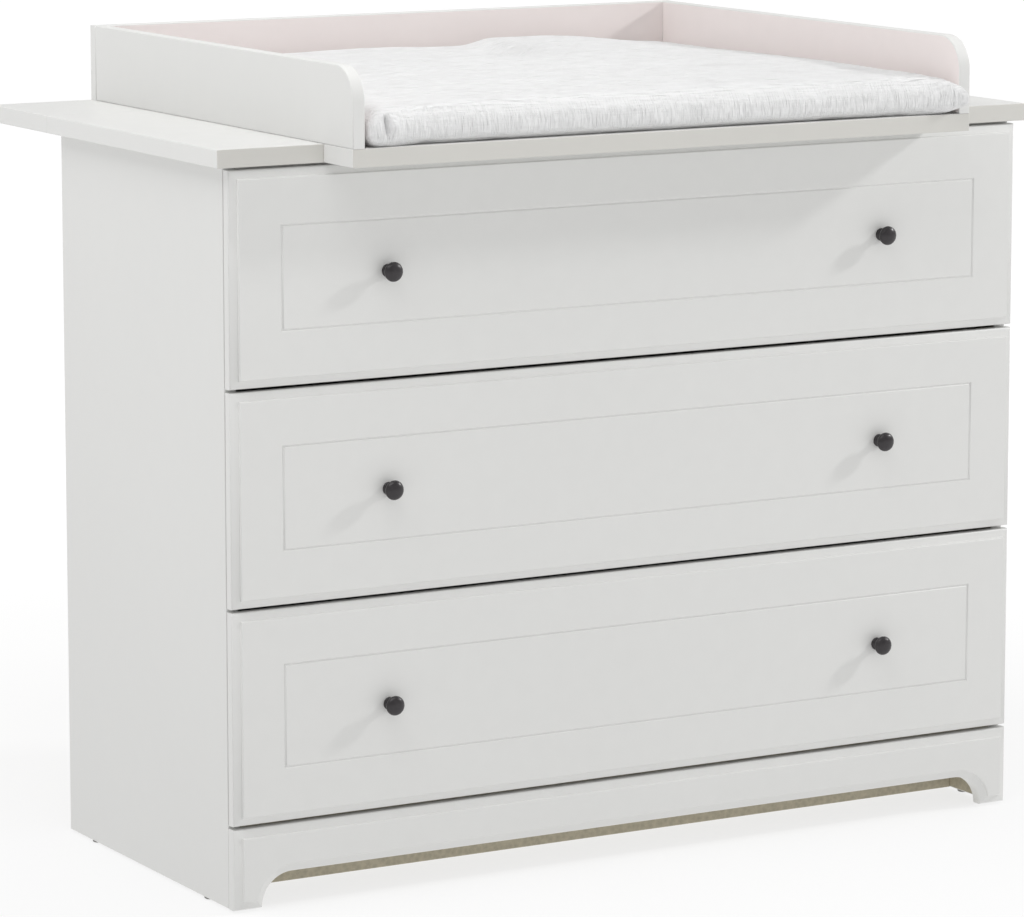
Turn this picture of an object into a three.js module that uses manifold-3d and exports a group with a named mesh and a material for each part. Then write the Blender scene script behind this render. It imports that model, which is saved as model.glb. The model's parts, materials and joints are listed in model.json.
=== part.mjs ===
// A baby changing table: a chest with three drawers, a three-sided changing tray on its top, and a pad.
// Millimetres, +Z up. The drawers open towards -Y, and +X runs along the width.
// The pieces are laid out from the middle of the chest (x = 0), the front edge of its side panels
// (y = 0) and the floor (z = 0). The group then moves them so that the origin is on the floor under the
// middle of the whole object's box.
import * as THREE from "three";
import { mergeVertices } from "three/addons/utils/BufferGeometryUtils.js";
import Module from "manifold-3d";

// ---- Driving dimensions -------------------------------------------------------------------------

// Chest
const chestWidth = 1118;
const chestDepth = 450;
const topSurface = 913; // height of the changing surface above the floor
const topThick = 22;
const topOverhang = 15; // past each side panel
const topFrontOverhang = 18;
const topRearOverhang = 9;
const panelThick = 16;
const glideHeight = 3;
const glideRadius = 7;
const glideSetback = 66; // from the front and rear edges of a side panel
const glideSegments = 24;
const backPanelThick = 4;
const backPanelInset = 4; // from the rear edges of the side panels
const bottomPanelZ = 96; // underside of the bottom panel
const railDepth = 60;
const middleRailSetback = 40;

// Drawer fronts and apron
const drawerCount = 3;
const lowestFrontZ = 105.5;
const frontHeight = 258;
const frontGap = 4;
const frontThick = 19;
const frontStandOff = 2; // between a drawer front and the side panels
const edgeMouldWidth = 10.5;
const edgeMouldDepth = 8;
const quirkWidth = 1.5; // the small step inside the moulded edge
const quirkDepth = 1;
const grooveInset = 67; // groove centre line, from each edge of a front
const grooveWidth = 4;
const grooveDepth = 1;
const apronTop = 101.5;
const footWidth = 38; // at the floor
const footRadius = 40;
const plinthSetback = 84;

// Drawer boxes and runners
const runnerSpace = 13; // between a side panel and a drawer side
const runnerLength = 400;
const runnerHeight = 40;
const runnerSheet = 1.5;
const runnerClearance = 2.5;
const drawerSideThick = 12;
const drawerLength = 410;
const drawerHeight = 170;
const drawerRise = 28; // drawer side's lower edge above the front's lower edge
const drawerBottomRise = 10;
const drawerBottomThick = 5;

// Knobs
const knobRadius = 12;
const knobLength = 22;
const collarRadius = 8;
const neckRadius = 5;
const knobSpacing = 704; // between the two knobs of a drawer
const knobHeadThick = 11;
const knobDomeDepth = 6.5; // from the widest ring of the head to its tip
const knobCollarThick = 3.5;
const knobSegments = 28;

// Changing tray and pad
const trayWidth = 870;
const trayFront = -92;
const trayRear = 628;
const trayWallHeight = 96;
const trayWallThick = 16;
const trayCornerRadius = 42;
const battenLength = 640;
const battenDepth = 20;
const battenHeight = 40;
const padSideClearance = 4;
const padFrontSetback = 1;
const padRearClearance = 8;
const padThick = 50;
const padCornerRadius = 24;
const padEdgeRadius = 16;
const restGap = 0.3; // between the pad and the boards it lies on

// ---- Derived levels -----------------------------------------------------------------------------

const halfWidth = chestWidth / 2;
const underTop = topSurface - topThick;
const innerHalf = halfWidth - panelThick;
const frontPitch = frontHeight + frontGap;
const frontFaceY = -frontStandOff - frontThick;
const backPanelFront = chestDepth - backPanelInset - backPanelThick;
const topRear = chestDepth + topRearOverhang;
const trayHalf = trayWidth / 2;

// ---- Materials ----------------------------------------------------------------------------------

const finish = (color, roughness, metalness = 0) => ({ color, roughness, metalness });
const whiteLacquer = finish(0xe9e9e6, 0.42);
const roseLacquer = finish(0xe6d8d6, 0.45);
const whiteBoard = finish(0xe4e3de, 0.55);
const greyBoard = finish(0xcfccc4, 0.8);
const blackEnamel = finish(0x2b2728, 0.35, 0.2);
const zincSteel = finish(0xb4b7ba, 0.35, 0.9);
const clearPlastic = finish(0x6f6d68, 0.5);
const whiteMuslin = finish(0xefefef, 0.95);

// ---- Building helpers ---------------------------------------------------------------------------

const wasm = await Module();
wasm.setup();

function piece(name, geometry, look) {
  const mesh = new THREE.Mesh(geometry, new THREE.MeshStandardMaterial(look));
  mesh.name = name;
  return mesh;
}

// A board between two corners.
function board(name, look, x0, x1, y0, y1, z0, z1) {
  const mesh = piece(name, new THREE.BoxGeometry(x1 - x0, y1 - y0, z1 - z0), look);
  mesh.position.set((x0 + x1) / 2, (y0 + y1) / 2, (z0 + z1) / 2);
  return mesh;
}

// A solid through a stack of centred rectangles. Each ring is [half width, half height, level].
function rectangleLoft(rings) {
  const corners = [[-1, -1], [1, -1], [1, 1], [-1, 1]];
  const points = rings.flatMap(([w, h, z]) => corners.map(([sx, sy]) => [sx * w, sy * h, z]));
  const faces = [[0, 2, 1], [0, 3, 2]];
  for (let ring = 0; ring < rings.length - 1; ring++) {
    for (let side = 0; side < 4; side++) {
      const a = ring * 4 + side;
      const b = ring * 4 + ((side + 1) % 4);
      faces.push([a, b, b + 4], [a, b + 4, a + 4]);
    }
  }
  const last = (rings.length - 1) * 4;
  faces.push([last, last + 1, last + 2], [last, last + 2, last + 3]);
  const geometry = new THREE.BufferGeometry();
  geometry.setAttribute("position", new THREE.Float32BufferAttribute(points.flat(), 3));
  geometry.setIndex(faces.flat());
  return geometry;
}

function toSolid(geometry) {
  const bare = geometry.clone();
  bare.deleteAttribute("normal");
  bare.deleteAttribute("uv");
  const merged = mergeVertices(bare, 1e-4);
  return new wasm.Manifold(
    new wasm.Mesh({
      numProp: 3,
      vertProperties: new Float32Array(merged.attributes.position.array),
      triVerts: new Uint32Array(merged.index.array),
    }),
  );
}

function toGeometry(solid) {
  const mesh = solid.getMesh();
  const geometry = new THREE.BufferGeometry();
  geometry.setAttribute("position", new THREE.Float32BufferAttribute(mesh.vertProperties, 3));
  geometry.setIndex(new THREE.Uint32BufferAttribute(mesh.triVerts, 1));
  geometry.computeVertexNormals();
  return geometry;
}

// Turns a geometry drawn in X and Y with its face towards +Z into one that stands up facing -Y.
function standFacingFront(geometry) {
  return geometry.rotateX(Math.PI / 2);
}

// Turns an outline drawn as (depth, height) and extruded along +Z into a board across X.
function standAcross(geometry) {
  const toSide = new THREE.Matrix4().makeBasis(
    new THREE.Vector3(0, 1, 0),
    new THREE.Vector3(0, 0, 1),
    new THREE.Vector3(1, 0, 0),
  );
  return geometry.applyMatrix4(toSide);
}

// ---- Moulded slab: the shape of a drawer front and of the apron ---------------------------------

// Centred on x and y, its back on z = 0, with a sloping edge mould and a small step inside it.
function mouldedSlab(width, height, thick) {
  const inset = edgeMouldWidth + quirkWidth;
  return toSolid(
    rectangleLoft([
      [width / 2, height / 2, 0],
      [width / 2, height / 2, thick - edgeMouldDepth - quirkDepth],
      [width / 2 - edgeMouldWidth, height / 2 - edgeMouldWidth, thick - quirkDepth],
      [width / 2 - inset, height / 2 - inset, thick - quirkDepth],
      [width / 2 - inset, height / 2 - inset, thick],
    ]),
  );
}

// The V-shaped groove that runs round a front, as the solid that the cutter takes away.
function grooveCut(width, height, thick) {
  const spill = 1; // how far the cutter stands out of the face
  const slope = grooveWidth / 2 / grooveDepth;
  const rim = grooveDepth + spill;
  const wedge = (sign) => {
    const reach = (inset, depth) => [width / 2 - inset, height / 2 - inset, depth];
    return toSolid(
      rectangleLoft([
        reach(grooveInset, thick - grooveDepth),
        reach(grooveInset - sign * slope * rim, thick + spill),
      ]),
    );
  };
  return wedge(1).subtract(wedge(-1));
}

function drawerFront() {
  const slab = mouldedSlab(chestWidth, frontHeight, frontThick);
  return standFacingFront(
    toGeometry(slab.subtract(grooveCut(chestWidth, frontHeight, frontThick))),
  );
}

// ---- Chest --------------------------------------------------------------------------------------

// The opening between the bracket feet, with rounded upper corners, grown outwards by a given amount.
// It is drawn about the middle of the apron and reaches below it.
function archOutline(rise, grow) {
  const half = halfWidth - footWidth + grow;
  const radius = footRadius + grow;
  const outline = new THREE.Shape();
  outline.moveTo(-half, -rise - footRadius);
  outline.lineTo(half, -rise - footRadius);
  outline.lineTo(half, -rise);
  outline.absarc(half - radius, -rise, radius, 0, Math.PI / 2, false);
  outline.lineTo(-half + radius, -rise + radius);
  outline.absarc(-half + radius, -rise, radius, Math.PI / 2, Math.PI, false);
  outline.closePath();
  return outline;
}

function apron() {
  const thick = frontThick + frontStandOff;
  const height = apronTop - glideHeight;
  const rise = height / 2;
  const mouldFront = thick - quirkDepth;
  const curveSegments = 8;
  const through = new THREE.ExtrudeGeometry(archOutline(rise, 0), {
    depth: 2 * thick, bevelEnabled: false, curveSegments,
  });
  const mould = new THREE.ExtrudeGeometry(archOutline(rise, 0), {
    depth: edgeMouldDepth, bevelThickness: edgeMouldDepth, bevelSize: edgeMouldWidth,
    bevelSegments: 1, curveSegments,
  });
  const quirk = new THREE.ExtrudeGeometry(archOutline(rise, edgeMouldWidth + quirkWidth), {
    depth: thick, bevelEnabled: false, curveSegments,
  });
  const solid = mouldedSlab(chestWidth, height, thick)
    .subtract(toSolid(through.translate(0, 0, -thick / 2)))
    .subtract(toSolid(mould.translate(0, 0, mouldFront)))
    .subtract(toSolid(quirk.translate(0, 0, mouldFront)));
  const mesh = piece("apron", standFacingFront(toGeometry(solid)), whiteLacquer);
  mesh.position.set(0, 0, glideHeight + rise);
  return mesh;
}

function carcass() {
  const group = new THREE.Group();
  const low = glideHeight;
  const rearInner = backPanelFront;
  group.add(
    board("side_panel_left", whiteLacquer, -halfWidth, -innerHalf, 0, chestDepth, low, underTop),
    board("side_panel_right", whiteLacquer, innerHalf, halfWidth, 0, chestDepth, low, underTop),
    board("top_plate", whiteLacquer, -halfWidth - topOverhang, halfWidth + topOverhang,
      -topFrontOverhang, topRear, underTop, topSurface),
    board("bottom_panel", whiteBoard, -innerHalf, innerHalf, 0, rearInner,
      bottomPanelZ, bottomPanelZ + panelThick),
    board("back_panel", greyBoard, -innerHalf, innerHalf, rearInner, rearInner + backPanelThick,
      bottomPanelZ, underTop),
    board("top_rail_front", whiteBoard, -innerHalf, innerHalf, 0, railDepth,
      underTop - panelThick, underTop),
    board("top_rail_rear", whiteBoard, -innerHalf, innerHalf, rearInner - railDepth, rearInner,
      underTop - panelThick, underTop),
    board("plinth", whiteLacquer, -innerHalf, innerHalf, plinthSetback, plinthSetback + panelThick,
      low, bottomPanelZ),
    apron(),
  );
  for (let level = 1; level < drawerCount; level++) {
    const gapMiddle = lowestFrontZ + level * frontPitch - frontGap / 2;
    group.add(
      board("middle_rail_" + level, whiteBoard, -innerHalf, innerHalf, middleRailSetback,
        middleRailSetback + railDepth, gapMiddle - panelThick / 2, gapMiddle + panelThick / 2),
    );
  }
  return group;
}

function glides() {
  const group = new THREE.Group();
  const places = [["front", glideSetback], ["rear", chestDepth - glideSetback]];
  for (const [where, y] of places) {
    for (const [side, sign] of [["left", -1], ["right", 1]]) {
      const disc = new THREE.CylinderGeometry(glideRadius, glideRadius, glideHeight, glideSegments);
      const mesh = piece(`glide_${where}_${side}`, disc.rotateX(Math.PI / 2), clearPlastic);
      mesh.position.set(sign * (halfWidth - panelThick / 2), y, glideHeight / 2);
      group.add(mesh);
    }
  }
  return group;
}

// ---- Runners ------------------------------------------------------------------------------------

// A pressed channel: its web on x = 0, its lips reaching towards +X, drawn in X and Z, along +Y.
function channel(height, depth) {
  const half = height / 2;
  const outline = new THREE.Shape();
  outline.moveTo(0, -half);
  outline.lineTo(depth, -half);
  outline.lineTo(depth, -half + runnerSheet);
  outline.lineTo(runnerSheet, -half + runnerSheet);
  outline.lineTo(runnerSheet, half - runnerSheet);
  outline.lineTo(depth, half - runnerSheet);
  outline.lineTo(depth, half);
  outline.lineTo(0, half);
  outline.closePath();
  const bar = new THREE.ExtrudeGeometry(outline, { depth: runnerLength, bevelEnabled: false });
  return bar.rotateX(Math.PI / 2).translate(0, runnerLength, 0);
}

// The runner that is screwed to a side panel. The left one opens towards the drawer, +X.
function cabinetRunner(name, sign, z) {
  const mesh = piece(name, channel(runnerHeight, runnerSpace - runnerClearance), zincSteel);
  if (sign > 0) mesh.rotation.z = Math.PI;
  mesh.position.set(sign * innerHalf, sign > 0 ? runnerLength : 0, z);
  return mesh;
}

// The runner that is screwed to a drawer side, inside the lips of the other.
function drawerRunner(name, sign, z) {
  const inset = runnerSheet + runnerClearance;
  const mesh = piece(name, channel(runnerHeight - 2 * inset, runnerSpace - inset), zincSteel);
  if (sign < 0) mesh.rotation.z = Math.PI;
  mesh.position.set(sign * (innerHalf - runnerSpace), sign < 0 ? runnerLength : 0, z);
  return mesh;
}

// ---- Drawers ------------------------------------------------------------------------------------

// A mushroom knob on a collar, turned about its own axis, with its foot on y = 0.
function knob() {
  const headBack = knobLength - knobHeadThick;
  const headRim = knobLength - knobDomeDepth;
  const ease = 1.5; // of the collar's rim and of the turns into the neck
  const profile = [
    [0, 0],
    [collarRadius, 0],
    [collarRadius, knobCollarThick - ease],
    [collarRadius - ease, knobCollarThick],
    [neckRadius, knobCollarThick + ease],
    [neckRadius, headBack - ease],
    [neckRadius + ease, headBack],
    [knobRadius - ease, headRim - ease],
    [knobRadius, headRim],
  ];
  const domeSteps = 5;
  for (let step = 1; step <= domeSteps; step++) {
    const angle = ((Math.PI / 2) * step) / domeSteps;
    const radius = step === domeSteps ? 0 : knobRadius * Math.cos(angle);
    profile.push([radius, headRim + (knobLength - headRim) * Math.sin(angle)]);
  }
  return new THREE.LatheGeometry(profile.map(([r, y]) => new THREE.Vector2(r, y)), knobSegments);
}

function drawer(tag, frontZ) {
  const group = new THREE.Group();
  const outerHalf = innerHalf - runnerSpace;
  const boxHalf = outerHalf - drawerSideThick;
  const start = -frontStandOff;
  const end = start + drawerLength;
  const low = frontZ + drawerRise;
  const high = low + drawerHeight;
  const floor = low + drawerBottomRise;
  const middle = frontZ + frontHeight / 2;

  const front = piece(`drawer_${tag}_front`, drawerFront(), whiteLacquer);
  front.position.set(0, start, middle);
  group.add(
    front,
    board(`drawer_${tag}_side_left`, whiteBoard, -outerHalf, -boxHalf, start, end, low, high),
    board(`drawer_${tag}_side_right`, whiteBoard, boxHalf, outerHalf, start, end, low, high),
    board(`drawer_${tag}_back`, whiteBoard, -boxHalf, boxHalf, end - drawerSideThick, end, low, high),
    board(`drawer_${tag}_bottom`, whiteBoard, -boxHalf, boxHalf, start, end - drawerSideThick,
      floor, floor + drawerBottomThick),
  );
  for (const [side, sign] of [["left", -1], ["right", 1]]) {
    const handle = piece(`drawer_${tag}_knob_${side}`, knob(), blackEnamel);
    handle.rotation.x = Math.PI;
    handle.position.set((sign * knobSpacing) / 2, frontFaceY, middle);
    const runnerZ = low + runnerHeight / 2 + drawerBottomRise;
    group.add(
      handle,
      drawerRunner(`drawer_${tag}_runner_${side}`, sign, runnerZ),
      cabinetRunner(`cabinet_runner_${tag}_${side}`, sign, runnerZ),
    );
  }
  return group;
}

// ---- Changing tray ------------------------------------------------------------------------------

function trayWall(name, sign) {
  const rear = trayRear - trayWallThick;
  const outline = new THREE.Shape();
  outline.moveTo(trayFront, 0);
  outline.lineTo(rear, 0);
  outline.lineTo(rear, trayWallHeight);
  outline.lineTo(trayFront + trayCornerRadius, trayWallHeight);
  outline.absarc(trayFront + trayCornerRadius, trayWallHeight - trayCornerRadius, trayCornerRadius,
    Math.PI / 2, Math.PI, false);
  outline.closePath();
  const slab = new THREE.ExtrudeGeometry(outline, {
    depth: trayWallThick, bevelEnabled: false, curveSegments: 14,
  });
  const mesh = piece(name, standAcross(slab), roseLacquer);
  mesh.position.set(sign > 0 ? trayHalf - trayWallThick : -trayHalf, 0, topSurface);
  return mesh;
}

function tray() {
  const group = new THREE.Group();
  const halfTop = halfWidth + topOverhang;
  const wallTop = topSurface + trayWallHeight;
  group.add(
    trayWall("tray_wall_left", -1),
    trayWall("tray_wall_right", 1),
    board("tray_wall_back", roseLacquer, -trayHalf, trayHalf, trayRear - trayWallThick, trayRear,
      topSurface, wallTop),
    board("front_extension", whiteLacquer, -trayHalf, trayHalf, trayFront, -topFrontOverhang,
      underTop, topSurface),
    board("rear_extension", whiteLacquer, -halfTop, halfTop, topRear, trayRear, underTop, topSurface),
    board("rear_stop_batten", whiteBoard, -battenLength / 2, battenLength / 2, topRear,
      topRear + battenDepth, underTop - battenHeight, underTop),
  );
  return group;
}

function pad() {
  const half = trayHalf - trayWallThick - padSideClearance;
  const front = trayFront + padFrontSetback;
  const rear = trayRear - trayWallThick - padRearClearance;
  const r = padCornerRadius;
  const outline = new THREE.Shape();
  outline.moveTo(-half + r, front);
  outline.lineTo(half - r, front);
  outline.absarc(half - r, front + r, r, -Math.PI / 2, 0, false);
  outline.lineTo(half, rear - r);
  outline.absarc(half - r, rear - r, r, 0, Math.PI / 2, false);
  outline.lineTo(-half + r, rear);
  outline.absarc(-half + r, rear - r, r, Math.PI / 2, Math.PI, false);
  outline.lineTo(-half, front + r);
  outline.absarc(-half + r, front + r, r, Math.PI, 1.5 * Math.PI, false);
  const cushion = new THREE.ExtrudeGeometry(outline, {
    depth: padThick - 2 * padEdgeRadius,
    bevelThickness: padEdgeRadius,
    bevelSize: padEdgeRadius,
    bevelOffset: -padEdgeRadius,
    bevelSegments: 4,
    curveSegments: 6,
  });
  cushion.translate(0, 0, padEdgeRadius);
  const mesh = piece("pad", toGeometry(toSolid(cushion)), whiteMuslin);
  mesh.position.z = topSurface + restGap;
  return mesh;
}

// ---- The whole object ---------------------------------------------------------------------------

const drawerTags = ["lower", "middle", "upper"];
const changingTable = new THREE.Group();
changingTable.add(carcass(), glides(), tray(), pad());
drawerTags.forEach((tag, level) => changingTable.add(drawer(tag, lowestFrontZ + level * frontPitch)));
changingTable.position.y = -(trayFront + trayRear) / 2;

export default changingTable;
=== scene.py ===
"""Looks of a baby changing table: lacquered boards, moulded fronts, knobs, a tray and a muslin pad."""

import json
import math

import bmesh
import bpy
import numpy as np
from mathutils import Matrix, Vector, noise


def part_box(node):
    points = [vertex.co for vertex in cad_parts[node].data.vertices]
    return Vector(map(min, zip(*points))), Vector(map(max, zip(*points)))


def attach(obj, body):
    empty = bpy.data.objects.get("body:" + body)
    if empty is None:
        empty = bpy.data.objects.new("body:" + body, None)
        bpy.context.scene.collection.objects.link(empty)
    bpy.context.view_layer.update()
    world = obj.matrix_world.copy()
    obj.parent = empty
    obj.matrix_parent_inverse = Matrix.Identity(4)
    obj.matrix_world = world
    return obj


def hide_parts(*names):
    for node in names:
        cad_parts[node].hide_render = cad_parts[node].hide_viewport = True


bl_info = {
    "name": "Changing table",
    "version": (1, 0, 0),
    "blender": (4, 5, 0),
    "location": "3D View > Sidebar > Changing Table",
    "description": "Builds the finished pieces of a changing table around its packed frame",
    "category": "Object",
}

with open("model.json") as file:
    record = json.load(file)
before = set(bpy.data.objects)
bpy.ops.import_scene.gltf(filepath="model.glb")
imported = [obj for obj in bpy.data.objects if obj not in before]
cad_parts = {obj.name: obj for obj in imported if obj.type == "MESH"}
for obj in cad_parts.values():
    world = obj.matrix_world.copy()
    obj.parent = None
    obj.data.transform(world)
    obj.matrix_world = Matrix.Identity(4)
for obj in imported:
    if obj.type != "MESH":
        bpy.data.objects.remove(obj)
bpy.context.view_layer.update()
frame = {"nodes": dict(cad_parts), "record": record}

UP = Vector((0, 0, 1))
RIGHT = Vector((1, 0, 0))
FRONT = Vector((0, -1, 0))
LEVELS = ("lower", "middle", "upper")
SIDES = ("left", "right")
TRAY_WALLS = ("tray_wall_left", "tray_wall_right", "tray_wall_back")
LACQUERED_BOARDS = ("side_panel_left", "side_panel_right", "rear_extension")
BANDED_BOARDS = ("top_plate", "front_extension")
# Boards coloured with the tan painted shade.
PAINTED_SHADE_BOARDS = ("plinth", "bottom_panel")
INNER_BOARDS = (
    "top_rail_front",
    "top_rail_rear",
    "middle_rail_1",
    "middle_rail_2",
    "rear_stop_batten",
)
DRAWER_BOARDS = ("side_left", "side_right", "back", "bottom")
SAME_PLACE = 1e-5  # two coordinates closer than this, in metres, are the same


# ---- Settings a user would change ---------------------------------------------------------------


def length_setting(name, description, default, least=0.0, most=1.0):
    """A size in metres."""
    return bpy.props.FloatProperty(
        name=name, description=description, default=default, min=least, max=most, unit="LENGTH"
    )


def colour_setting(name, description, default):
    """The colour of a finish."""
    return bpy.props.FloatVectorProperty(
        name=name, description=description, default=default, size=3, min=0, max=1, subtype="COLOR"
    )


def angle_setting(name, description, degrees):
    """An angle, given in degrees."""
    return bpy.props.FloatProperty(
        name=name, description=description, default=math.radians(degrees), subtype="ANGLE", unit="ROTATION"
    )


def power_setting(name, description, default):
    """The power of a lamp in watts."""
    return bpy.props.FloatProperty(
        name=name, description=description, default=default, min=0, max=2000, subtype="POWER", unit="POWER"
    )


class ChangingTableColours(bpy.types.PropertyGroup):
    """The colours of the finishes."""

    lacquer: colour_setting("White lacquer", "Colour of the outer boards and fronts", (0.75, 0.75, 0.735))
    rose: colour_setting("Rose lacquer", "Colour of the inner faces of the tray walls", (0.83, 0.765, 0.75))
    melamine: colour_setting("White melamine", "Colour of the drawer boxes and rails", (0.74, 0.73, 0.70))
    hardboard: colour_setting("Hardboard", "Colour of the back panel", (0.50, 0.45, 0.37))
    enamel: colour_setting("Dark enamel", "Colour of the knobs", (0.022, 0.019, 0.021))
    muslin: colour_setting("Muslin", "Colour of the pad's cover", (0.88, 0.88, 0.88))
    # The front edges carry a band; its darker, warmer tint is painted shade.
    edge_band_with_painted_shade: colour_setting(
        "Edge band with painted shade", "Colour of the band on the front edges of the top", (0.645, 0.635, 0.60)
    )
    # This tan is painted shade: it stands in for the warm shade under and inside the chest, on the plinth,
    # the bottom panel and the inner faces of the side panels.
    painted_shade_board: colour_setting("Painted shade board", "Colour of the unpainted board", (0.47, 0.43, 0.33))


class ChangingTableBoards(bpy.types.PropertyGroup):
    """How the edges of the boards are eased."""

    edge_radius: length_setting(
        "Edge radius", "Radius of the eased edges of the lacquered boards", 0.0012, 0.0003, 0.004
    )
    inner_radius: length_setting(
        "Inner edge radius", "Radius of the eased edges inside the chest", 0.0008, 0.0002, 0.003
    )


class ChangingTableMoulding(bpy.types.PropertyGroup):
    """The moulded edge and the groove of the fronts and the apron."""

    width: length_setting("Mould width", "Width of the rounded edge mould", 0.0105, 0.004, 0.02)
    depth: length_setting("Mould depth", "How far the edge mould falls back", 0.008, 0.003, 0.012)
    quirk: length_setting("Quirk", "Height of the small step inside the mould", 0.001, 0.0003, 0.003)
    quirk_width: length_setting(
        "Quirk width", "Width of the small step inside the mould", 0.0015, 0.0005, 0.004
    )
    groove_inset: length_setting(
        "Groove inset", "Distance of the groove's centre line from the edges", 0.067, 0.03, 0.1
    )
    groove_width: length_setting("Groove width", "Width of the routed groove", 0.0038, 0.002, 0.01)
    groove_depth: length_setting("Groove depth", "Depth of the routed groove", 0.0013, 0.0003, 0.004)


class ChangingTableTray(bpy.types.PropertyGroup):
    """The walls of the changing tray."""

    corner_radius: length_setting(
        "Corner radius", "Radius of the rounded front corner of a side wall", 0.042, 0.01, 0.08
    )
    rim_radius: length_setting("Rim radius", "Radius of the eased rims of the walls", 0.0016, 0.0005, 0.005)


class ChangingTablePad(bpy.types.PropertyGroup):
    """The pad and its crinkled cover."""

    voxel: length_setting("Cloth grid", "Grid of the simulated cover", 0.005, 0.004, 0.012)
    pressure: bpy.props.FloatProperty(
        name="Pressure", description="Pressure that fills the cover", default=4.0, min=0, max=20,
    )
    puff: length_setting("Puff limit", "How far the filling may push the cover out", 0.005, 0.001, 0.03)
    edge_height: length_setting("Edge height", "Thickness of the pad near its edges", 0.041, 0.02, 0.08)
    edge_radius: length_setting(
        "Edge radius", "Radius of the rounded upper edges of the pad", 0.023, 0.005, 0.04
    )
    lower_radius: length_setting(
        "Lower edge radius", "Height of the rounded lower edges of the pad", 0.010, 0.003, 0.03
    )
    crown: length_setting("Crown", "How far the middle of the pad is above its edges", 0.013, 0, 0.03)
    crinkle: length_setting("Crinkle", "Height of the crinkles of the double gauze", 0.0009, 0, 0.003)


class ChangingTableStudio(bpy.types.PropertyGroup):
    """The floor, the lamps and the camera."""

    sky: bpy.props.FloatProperty(
        name="Sky", description="Strength of the even white surroundings", default=0.57, min=0, max=5,
    )
    key: power_setting("Key lamp", "Power of the small soft lamp high on the right", 95.0)
    overhead: power_setting("Overhead lamp", "Power of the wide lamp above, on the left", 53.0)
    camera_place: bpy.props.FloatVectorProperty(
        name="Camera place", description="Where the camera stands", size=3,
        default=(-3.0201, -5.2336, 1.4873), subtype="TRANSLATION", unit="LENGTH",
    )
    camera_yaw: angle_setting("Camera yaw", "Turn of the camera from the +Y direction towards +X", 29.254)
    camera_pitch: angle_setting("Camera pitch", "How far the camera looks down", 8.448)
    camera_roll: angle_setting("Camera roll", "Turn of the camera about its own axis", -0.097)
    lens: bpy.props.FloatProperty(
        name="Lens", description="Focal length on a 36 mm sensor, in millimetres",
        default=168.11, min=20, max=400, unit="CAMERA",
    )


# ---- Working with pieces ------------------------------------------------------------------------


def deselect_everything():
    if bpy.context.mode != "OBJECT":
        stop_editing()
    bpy.ops.object.select_all(action="DESELECT")


def take(piece):
    """Makes the piece the only selected and the active object."""
    deselect_everything()
    piece.select_set(True)
    bpy.context.view_layer.objects.active = piece


def edit(piece):
    """Opens the piece in edit mode."""
    take(piece)
    bpy.ops.object.mode_set(mode="EDIT")


def stop_editing():
    bpy.ops.object.mode_set(mode="OBJECT")


def choose(piece, kind, test):
    """Selects the faces or the edges of the piece that pass the test. The piece is in edit mode."""
    bpy.ops.mesh.select_mode(type=kind)
    bpy.ops.mesh.select_all(action="DESELECT")
    shape = bmesh.from_edit_mesh(piece.data)
    shape.normal_update()
    for item in shape.faces if kind == "FACE" else shape.edges:
        if test(item):
            item.select_set(True)
    bmesh.update_edit_mesh(piece.data)


def facing(direction, least=0.99):
    """A test for the faces that look in a direction."""
    return lambda face: face.normal.dot(direction) > least


def sharp_edge(edge):
    return edge.is_manifold and edge.calc_face_angle() > math.radians(40)


def middle_of(edge):
    return (edge.verts[0].co + edge.verts[1].co) / 2


def named(piece, name):
    piece.name = name
    piece.data.name = name
    return piece


def block(name, low, high):
    """A box between two corners, with its place in its mesh."""
    deselect_everything()
    bpy.ops.mesh.primitive_cube_add(size=1, location=(low + high) / 2, scale=high - low)
    piece = named(bpy.context.object, name)
    bpy.ops.object.transform_apply(location=True, rotation=True, scale=True)
    return piece


def ease(piece, radius, test=sharp_edge, segments=3):
    """Rounds the edges that pass the test."""
    edit(piece)
    choose(piece, "EDGE", test)
    bpy.ops.mesh.bevel(offset=radius, segments=segments, profile=0.5, affect="EDGES", clamp_overlap=True)
    stop_editing()


def apply_modifier(piece, kind, **values):
    take(piece)
    modifier = piece.modifiers.new(kind.title(), kind)
    for name, value in values.items():
        setattr(modifier, name, value)
    bpy.ops.object.modifier_apply(modifier=modifier.name)


def smooth(piece, angle=50):
    """Smooth shading that keeps wide faces flat."""
    take(piece)
    bpy.ops.object.shade_smooth_by_angle(angle=math.radians(angle))
    apply_modifier(piece, "WEIGHTED_NORMAL", keep_sharp=True, weight=60)


def repeat(piece, name, offset):
    """A copy of the piece with its own mesh, moved by an offset."""
    twin = piece.copy()
    twin.data = piece.data.copy()
    named(twin, name)
    twin.data.transform(Matrix.Translation(offset))
    bpy.context.scene.collection.objects.link(twin)
    return twin


def join(pieces):
    """Joins the pieces into the first of them."""
    take(pieces[0])
    for piece in pieces[1:]:
        piece.select_set(True)
    bpy.ops.object.join()
    return pieces[0]


def deliver(piece, body, materials, nodes=()):
    """Gives a finished piece its materials and its body, and hides the nodes that it stands for."""
    if not piece.data.materials:
        for material in materials:
            piece.data.materials.append(material)
    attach(piece, body)
    if nodes:
        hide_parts(*nodes)


def second_material(piece, direction, least=0.99):
    """Gives the faces that look in a direction the second material."""
    for face in piece.data.polygons:
        face.material_index = 1 if face.normal.dot(direction) > least else 0


def body_of_node(node):
    groups = frame["record"]["behaviour"]["bodies"]
    return next(body for body, members in groups.items() if node in members)


# ---- Finishes -----------------------------------------------------------------------------------


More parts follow.
